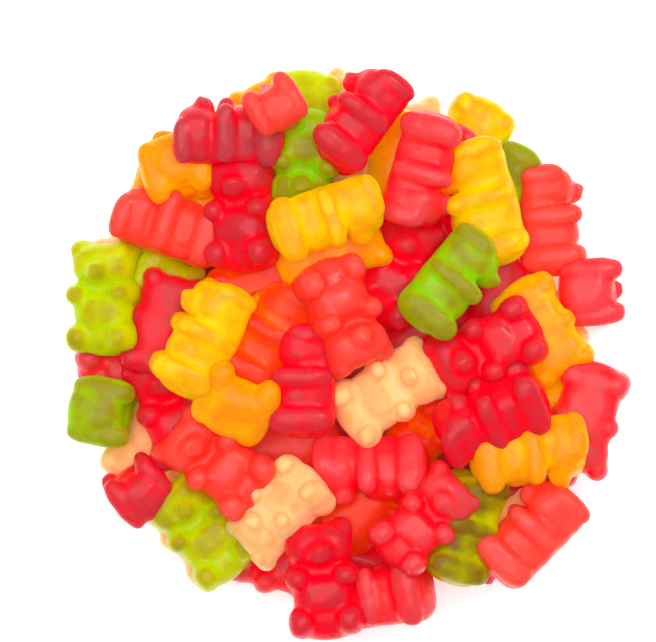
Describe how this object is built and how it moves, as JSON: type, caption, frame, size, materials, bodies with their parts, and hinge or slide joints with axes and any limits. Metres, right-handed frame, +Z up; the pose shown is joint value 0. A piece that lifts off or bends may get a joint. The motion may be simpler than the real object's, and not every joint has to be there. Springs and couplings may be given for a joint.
{
  "type": "heap of gummy bears",
  "caption": "Round free-standing heap of moulded jelly sweets in the form of bears, red, orange, yellow, green and pale, with a flat underside to rest on.",
  "frame": {"origin": "middle of the heap's flat underside", "axes": "+Z up, out of the flat underside; +Y towards the top of the usual view from above"},
  "size_m": [0.1008, 0.1026, 0.0285],
  "materials": {
    "coral_jelly": "satin, translucent jelly",
    "red_jelly": "satin, translucent jelly",
    "crimson_jelly": "satin, translucent jelly",
    "dark_red_jelly": "satin, translucent jelly",
    "orange_jelly": "satin, translucent jelly",
    "orange_red_jelly": "satin, translucent jelly",
    "yellow_jelly": "satin, translucent jelly",
    "green_jelly": "satin, translucent jelly",
    "olive_jelly": "satin, translucent jelly",
    "lime_jelly": "satin, translucent jelly",
    "peach_jelly": "satin, translucent jelly"
  },
  "bodies": {
    "root": {"gummy_bear_heap": "red_jelly"}
  },
  "joints": []
}
